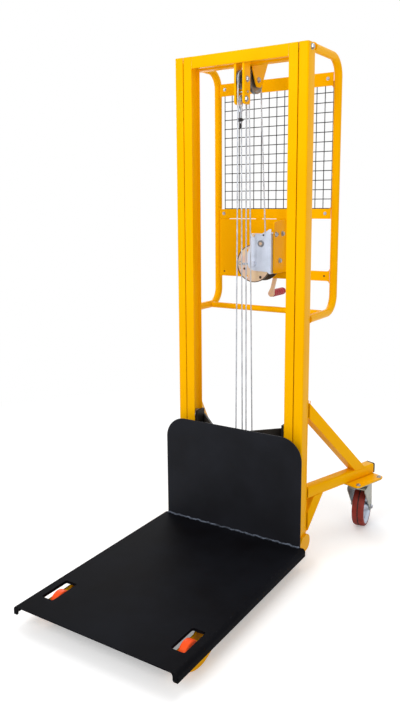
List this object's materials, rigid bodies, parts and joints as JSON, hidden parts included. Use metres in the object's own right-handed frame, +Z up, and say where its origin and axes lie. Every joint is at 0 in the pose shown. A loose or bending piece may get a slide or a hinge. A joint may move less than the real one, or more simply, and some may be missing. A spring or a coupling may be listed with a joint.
{
  "type": "winch material lift",
  "caption": "Hand-cranked material lift: two-stage channel mast, loading deck with backrest, wire rope over sheaves, rear winch with guard mesh, push hoop and swivel castors.",
  "frame": {"origin": "middle of the lift's bounding box, on the floor", "axes": "+X to the right seen from the deck, +Y from the deck towards the user, +Z up"},
  "size_m": [0.8366, 1.3064, 1.761],
  "materials": {
    "yellow_paint": "gloss yellow-orange paint",
    "black_paint": "satin black powder coat",
    "zinc": "bright zinc plate",
    "gold_zinc": "yellow chromated zinc",
    "mesh_wire": "dark coated wire",
    "rope_wire": "bright wire rope",
    "grip_red": "moulded ribbed grip",
    "roller_orange": "cast polyurethane",
    "castor_tread": "red-brown tread on a steel core",
    "nylon": "black nylon",
    "roller_steel": "turned steel"
  },
  "bodies": {
    "chassis": {"outer_mast_left": "yellow_paint", "outer_mast_right": "yellow_paint", "guide_block_left": "nylon", "guide_block_right": "nylon", "outer_head_beam": "yellow_paint", "base_leg_left": "yellow_paint", "base_leg_right": "yellow_paint", "base_cross_tube": "yellow_paint", "outrigger_left": "yellow_paint", "outrigger_right": "yellow_paint", "outrigger_plug_left": "nylon", "outrigger_plug_right": "nylon", "castor_plate_left": "zinc", "castor_plate_right": "zinc", "push_hoop_left": "yellow_paint", "push_hoop_right": "yellow_paint", "hoop_cross_bar": "yellow_paint", "mesh_top_bar": "yellow_paint", "mesh_bottom_bar": "yellow_paint", "winch_panel": "yellow_paint", "wire_mesh": "mesh_wire", "winch_bracket": "yellow_paint", "winch_frame": "zinc", "rope_winch_fall": "rope_wire", "rope_outer_fall": "rope_wire"},
    "inner_mast": {"inner_mast_left": "yellow_paint", "inner_mast_right": "yellow_paint", "inner_head_beam": "yellow_paint", "inner_foot_beam": "yellow_paint", "rope_inner_run": "rope_wire", "rope_front_fall": "rope_wire", "rope_dead_fall": "rope_wire", "rope_eye": "zinc"},
    "carriage": {"load_deck": "black_paint", "backrest": "black_paint", "carriage_side_left": "black_paint", "carriage_side_right": "black_paint", "carriage_sheave_fork": "black_paint", "rope_carriage_turn": "rope_wire"},
    "drum": {"winch_drum": "gold_zinc", "rope_winding": "rope_wire"},
    "crank": {"winch_crank": "gold_zinc"},
    "grip": {"crank_grip": "grip_red"},
    "top_sheave": {"top_sheave": "roller_steel"},
    "ear_sheave": {"ear_sheave": "roller_steel"},
    "foot_sheave": {"foot_sheave": "roller_steel"},
    "carriage_sheave": {"carriage_sheave": "roller_steel"},
    "mast_roller_left": {"mast_roller_left": "roller_steel"},
    "mast_roller_right": {"mast_roller_right": "roller_steel"},
    "carriage_roller_lower_left": {"carriage_roller_lower_left": "roller_steel"},
    "carriage_roller_lower_right": {"carriage_roller_lower_right": "roller_steel"},
    "carriage_roller_upper_left": {"carriage_roller_upper_left": "roller_steel"},
    "carriage_roller_upper_right": {"carriage_roller_upper_right": "roller_steel"},
    "load_roller_left": {"load_roller_left": "roller_orange"},
    "load_roller_right": {"load_roller_right": "roller_orange"},
    "castor_fork_left": {"castor_fork_left": "zinc"},
    "castor_fork_right": {"castor_fork_right": "zinc"},
    "castor_wheel_left": {"castor_wheel_left": "castor_tread"},
    "castor_wheel_right": {"castor_wheel_right": "castor_tread"}
  },
  "joints": [
    {"name": "inner_mast_slide", "type": "slide", "parent": "chassis", "child": "inner_mast", "axis": [0, 0, 1], "range_m": [0, 0.79], "deforming": ["rope_outer_fall"]},
    {"name": "carriage_slide", "type": "slide", "parent": "inner_mast", "child": "carriage", "axis": [0, 0, 1], "range_m": [0, 1.2], "deforming": ["rope_front_fall", "rope_dead_fall"]},
    {"name": "drum_turn", "type": "hinge", "parent": "chassis", "child": "drum", "pos_m": [0, 0.28684, 1.039], "axis": [0, 1, 0], "continuous": true},
    {"name": "crank_turn", "type": "hinge", "parent": "chassis", "child": "crank", "pos_m": [0.032, 0.28684, 1.112], "axis": [0, 1, 0], "continuous": true},
    {"name": "grip_spin", "type": "hinge", "parent": "crank", "child": "grip", "pos_m": [-0.0188, 0.47734, 0.90824], "axis": [0, 1, 0], "continuous": true},
    {"name": "top_sheave_turn", "type": "hinge", "parent": "chassis", "child": "top_sheave", "pos_m": [0, 0.29534, 1.676], "axis": [-1, 0, 0], "continuous": true},
    {"name": "ear_sheave_turn", "type": "hinge", "parent": "inner_mast", "child": "ear_sheave", "pos_m": [0, 0.20384, 1.667], "axis": [-1, 0, 0], "continuous": true},
    {"name": "foot_sheave_turn", "type": "hinge", "parent": "inner_mast", "child": "foot_sheave", "pos_m": [0.005, 0.25734, 0.164], "axis": [1, 0, 0], "continuous": true},
    {"name": "carriage_sheave_turn", "type": "hinge", "parent": "carriage", "child": "carriage_sheave", "pos_m": [-0.008, 0.20134, 0.205], "axis": [-1, 0, 0], "continuous": true},
    {"name": "mast_roller_turn_left", "type": "hinge", "parent": "inner_mast", "child": "mast_roller_left", "pos_m": [-0.237, 0.20234, 0.12], "axis": [1, 0, 0], "continuous": true},
    {"name": "carriage_roller_lower_turn_left", "type": "hinge", "parent": "carriage", "child": "carriage_roller_lower_left", "pos_m": [-0.1925, 0.20234, 0.14], "axis": [1, 0, 0], "continuous": true},
    {"name": "carriage_roller_upper_turn_left", "type": "hinge", "parent": "carriage", "child": "carriage_roller_upper_left", "pos_m": [-0.1925, 0.20234, 0.462], "axis": [1, 0, 0], "continuous": true},
    {"name": "load_roller_turn_left", "type": "hinge", "parent": "chassis", "child": "load_roller_left", "pos_m": [-0.2385, -0.51716, 0.037], "axis": [1, 0, 0], "continuous": true},
    {"name": "castor_swivel_left", "type": "hinge", "parent": "chassis", "child": "castor_fork_left", "pos_m": [-0.34564, 0.51274, 0.19], "axis": [0, 0, 1], "continuous": true},
    {"name": "castor_wheel_turn_left", "type": "hinge", "parent": "castor_fork_left", "child": "castor_wheel_left", "pos_m": [-0.33833, 0.57229, 0.08], "axis": [0.9925, -0.1219, 0], "continuous": true},
    {"name": "mast_roller_turn_right", "type": "hinge", "parent": "inner_mast", "child": "mast_roller_right", "pos_m": [0.237, 0.20234, 0.12], "axis": [1, 0, 0], "continuous": true},
    {"name": "carriage_roller_lower_turn_right", "type": "hinge", "parent": "carriage", "child": "carriage_roller_lower_right", "pos_m": [0.1925, 0.20234, 0.14], "axis": [1, 0, 0], "continuous": true},
    {"name": "carriage_roller_upper_turn_right", "type": "hinge", "parent": "carriage", "child": "carriage_roller_upper_right", "pos_m": [0.1925, 0.20234, 0.462], "axis": [1, 0, 0], "continuous": true},
    {"name": "load_roller_turn_right", "type": "hinge", "parent": "chassis", "child": "load_roller_right", "pos_m": [0.2385, -0.51716, 0.037], "axis": [1, 0, 0], "continuous": true},
    {"name": "castor_swivel_right", "type": "hinge", "parent": "chassis", "child": "castor_fork_right", "pos_m": [0.34564, 0.51274, 0.19], "axis": [0, 0, 1], "continuous": true},
    {"name": "castor_wheel_turn_right", "type": "hinge", "parent": "castor_fork_right", "child": "castor_wheel_right", "pos_m": [0.33833, 0.57229, 0.08], "axis": [0.9925, 0.1219, 0], "continuous": true}
  ],
  "couplings": [
    {"joint": "drum_turn", "follows": "carriage_slide", "rad_per_m": 42.105},
    {"joint": "crank_turn", "follows": "carriage_slide", "rad_per_m": -182.46},
    {"joint": "top_sheave_turn", "follows": "carriage_slide", "rad_per_m": 47.059},
    {"joint": "ear_sheave_turn", "follows": "carriage_slide", "rad_per_m": 71.429},
    {"joint": "foot_sheave_turn", "follows": "carriage_slide", "rad_per_m": 78.431},
    {"joint": "carriage_sheave_turn", "follows": "carriage_slide", "rad_per_m": 39.216},
    {"joint": "mast_roller_turn_left", "follows": "inner_mast_slide", "rad_per_m": -41.322},
    {"joint": "carriage_roller_lower_turn_left", "follows": "carriage_slide", "rad_per_m": -42.194},
    {"joint": "carriage_roller_upper_turn_left", "follows": "carriage_slide", "rad_per_m": 42.194},
    {"joint": "mast_roller_turn_right", "follows": "inner_mast_slide", "rad_per_m": -41.322},
    {"joint": "carriage_roller_lower_turn_right", "follows": "carriage_slide", "rad_per_m": -42.194},
    {"joint": "carriage_roller_upper_turn_right", "follows": "carriage_slide", "rad_per_m": 42.194}
  ]
}
